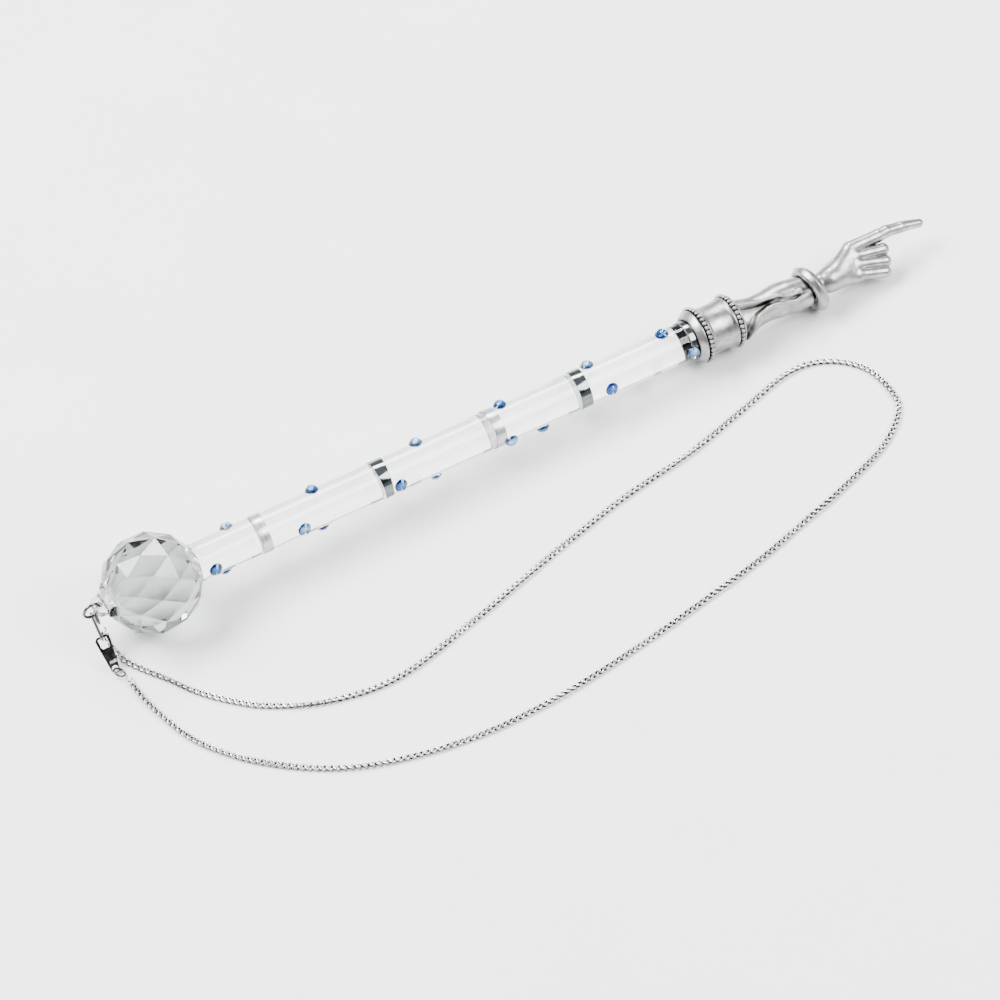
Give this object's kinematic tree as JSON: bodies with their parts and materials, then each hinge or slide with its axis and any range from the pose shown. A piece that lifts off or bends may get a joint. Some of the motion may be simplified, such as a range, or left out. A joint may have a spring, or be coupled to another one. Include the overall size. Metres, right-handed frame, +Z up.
{
  "type": "torah pointer",
  "caption": "Clear rod wand with a faceted glass ball, glued blue stones, mirror bands, a pewter pointing hand and a neck chain on a ring at the ball's drilled lug.",
  "frame": {"origin": "centre of the wand's bounding box at the surface it lies on, the chain and its clasp left out", "axes": "+X along the rod towards the fingertip, +Z up, the chain lies on the -Y side"},
  "size_m": [0.2885, 0.1029, 0.0292],
  "materials": {
    "clear_glass": "polished, colourless",
    "mirror_band": "mirror",
    "pewter": "satin cast pewter, darkened in the recesses",
    "silver": "mirror",
    "blue_stone": "faceted, foil backed, sapphire blue",
    "pale_blue_stone": "faceted, foil backed, pale blue"
  },
  "bodies": {
    "wand": {"crystal_ball": "clear_glass", "clear_rod": "clear_glass", "band_1": "mirror_band", "band_2": "mirror_band", "band_3": "mirror_band", "band_4": "mirror_band", "end_sleeve": "mirror_band", "ferrule": "pewter", "bead_wire_rear": "pewter", "bead_wire_front": "pewter", "sleeve_arm": "pewter", "wrist_cuff": "pewter", "pointing_hand": "pewter", "chain": "silver", "stone_a1": "pale_blue_stone", "stone_a2": "blue_stone", "stone_a3": "pale_blue_stone", "stone_a4": "blue_stone", "stone_a5": "pale_blue_stone", "stone_a6": "blue_stone", "stone_b1": "blue_stone", "stone_b2": "pale_blue_stone", "stone_b3": "blue_stone", "stone_b4": "pale_blue_stone", "stone_b5": "blue_stone", "stone_b6": "pale_blue_stone", "stone_c1": "pale_blue_stone", "stone_c2": "blue_stone", "stone_c3": "pale_blue_stone", "stone_c4": "blue_stone", "stone_c5": "pale_blue_stone", "stone_d1": "blue_stone", "stone_d2": "pale_blue_stone", "stone_d3": "blue_stone", "stone_d4": "pale_blue_stone", "stone_d5": "blue_stone"},
    "lug_ring": {"lug_ring": "silver"},
    "oval_link": {"oval_link": "silver"},
    "end_link": {"end_link": "silver"},
    "clasp": {"clasp_base": "silver", "clasp_pin": "silver"},
    "clasp_cover": {"clasp_cover": "silver"},
    "tail_ring": {"tail_ring": "silver"}
  },
  "joints": [
    {"name": "ring_swing", "type": "hinge", "parent": "wand", "child": "lug_ring", "pos_m": [-0.14069, 0, 0.01498], "axis": [0.0281, 0, 0.9996], "range_deg": [-60, 40], "deforming": ["chain"]},
    {"name": "oval_link_roll", "type": "hinge", "parent": "lug_ring", "child": "oval_link", "pos_m": [-0.14318, 0, 0.01222], "axis": [0, -0.7593, -0.6508], "range_deg": [-15, 5]},
    {"name": "end_link_roll", "type": "hinge", "parent": "lug_ring", "child": "end_link", "pos_m": [-0.14208, 0, 0.01247], "axis": [0.0523, -0.4973, -0.866], "range_deg": [-10, 15]},
    {"name": "clasp_roll", "type": "hinge", "parent": "lug_ring", "child": "clasp", "pos_m": [-0.14318, 0, 0.01222], "axis": [0, -0.7593, -0.6508], "range_deg": [0, 20]},
    {"name": "cover_hinge", "type": "hinge", "parent": "clasp", "child": "clasp_cover", "pos_m": [-0.14318, -0.01129, 0.00357], "axis": [1, 0, 0], "range_deg": [0, 110]},
    {"name": "tail_ring_roll", "type": "hinge", "parent": "lug_ring", "child": "tail_ring", "pos_m": [-0.14318, -0.01245, 0.00154], "axis": [0.4162, -0.8925, -0.1736], "range_deg": [-15, 0]}
  ]
}
